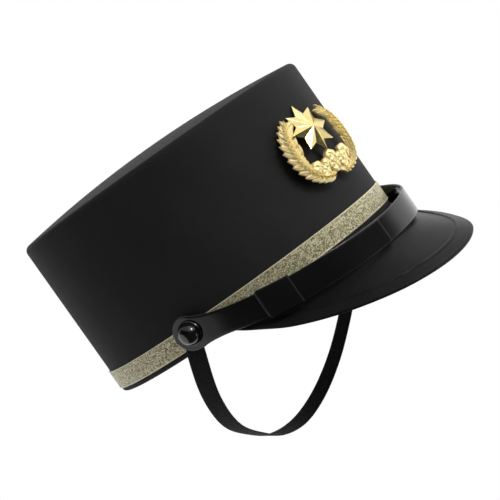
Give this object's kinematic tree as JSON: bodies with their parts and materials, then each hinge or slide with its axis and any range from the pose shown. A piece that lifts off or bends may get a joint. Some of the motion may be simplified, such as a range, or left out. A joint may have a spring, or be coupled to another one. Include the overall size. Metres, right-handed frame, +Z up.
{
  "type": "conductor cap",
  "caption": "Tall oval uniform cap with a gold ribbon, a moulded visor, a front strap on side buttons, a chin strap and a cast star-and-laurel badge.",
  "frame": {"origin": "middle of the head opening, in the plane of the rim", "axes": "+Z up along the crown, -Y toward the front of the cap (visor and badge), -X toward the wearer's right"},
  "size_m": [0.197, 0.2404, 0.1889],
  "materials": {
    "crown_cloth": "matt black twill over a stiff body",
    "ribbon_gold": "pale gold ribbon woven with metallic thread",
    "visor_leather": "smooth black, satin to glossy",
    "strap_leather": "smooth black, glossy",
    "button_black": "high-gloss black",
    "elastic_black": "matt black woven elastic",
    "badge_gold": "bright gold-plated cast metal"
  },
  "bodies": {
    "root": {"crown_wall": "crown_cloth", "crown_top": "crown_cloth", "gold_ribbon": "ribbon_gold", "visor": "visor_leather", "strap_right": "strap_leather", "strap_left": "strap_leather", "strap_keeper": "strap_leather", "button_right": "button_black", "button_left": "button_black", "chin_strap": "elastic_black", "badge": "badge_gold"}
  },
  "joints": []
}
